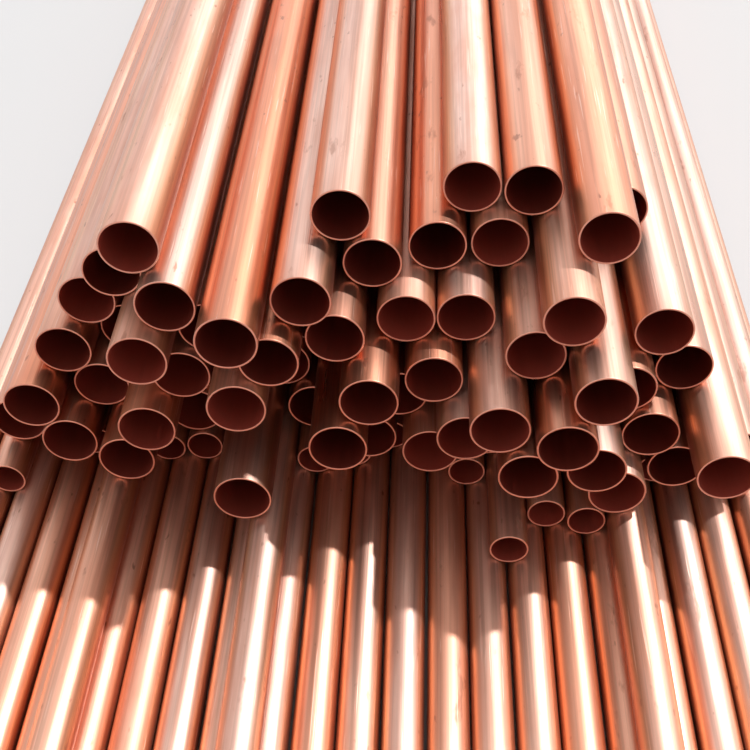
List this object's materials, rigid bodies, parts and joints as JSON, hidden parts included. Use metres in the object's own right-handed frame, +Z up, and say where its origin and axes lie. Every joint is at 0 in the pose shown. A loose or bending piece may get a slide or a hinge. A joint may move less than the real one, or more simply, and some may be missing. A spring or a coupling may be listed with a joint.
{
  "type": "stack of copper tubes",
  "caption": "Loose nested heap of straight, thin-walled copper tubes with open, unevenly set ends and a partly filled top layer.",
  "frame": {"origin": "middle of the heap's footprint, on the floor", "axes": "+Y along the tubes with the ends seen in the picture at -Y, +Z up, +X across the heap"},
  "size_m": [0.4508, 3.35, 0.1831],
  "materials": {
    "copper": "bright drawn copper, lightly tarnished and scuffed"
  },
  "bodies": {
    "root": {"bed_tubes": "copper", "layer_2_tubes": "copper", "layer_3_tubes": "copper", "layer_4_tubes": "copper", "layer_5_tubes": "copper", "layer_6_tubes": "copper", "layer_7_tubes": "copper", "top_tubes": "copper"}
  },
  "joints": []
}
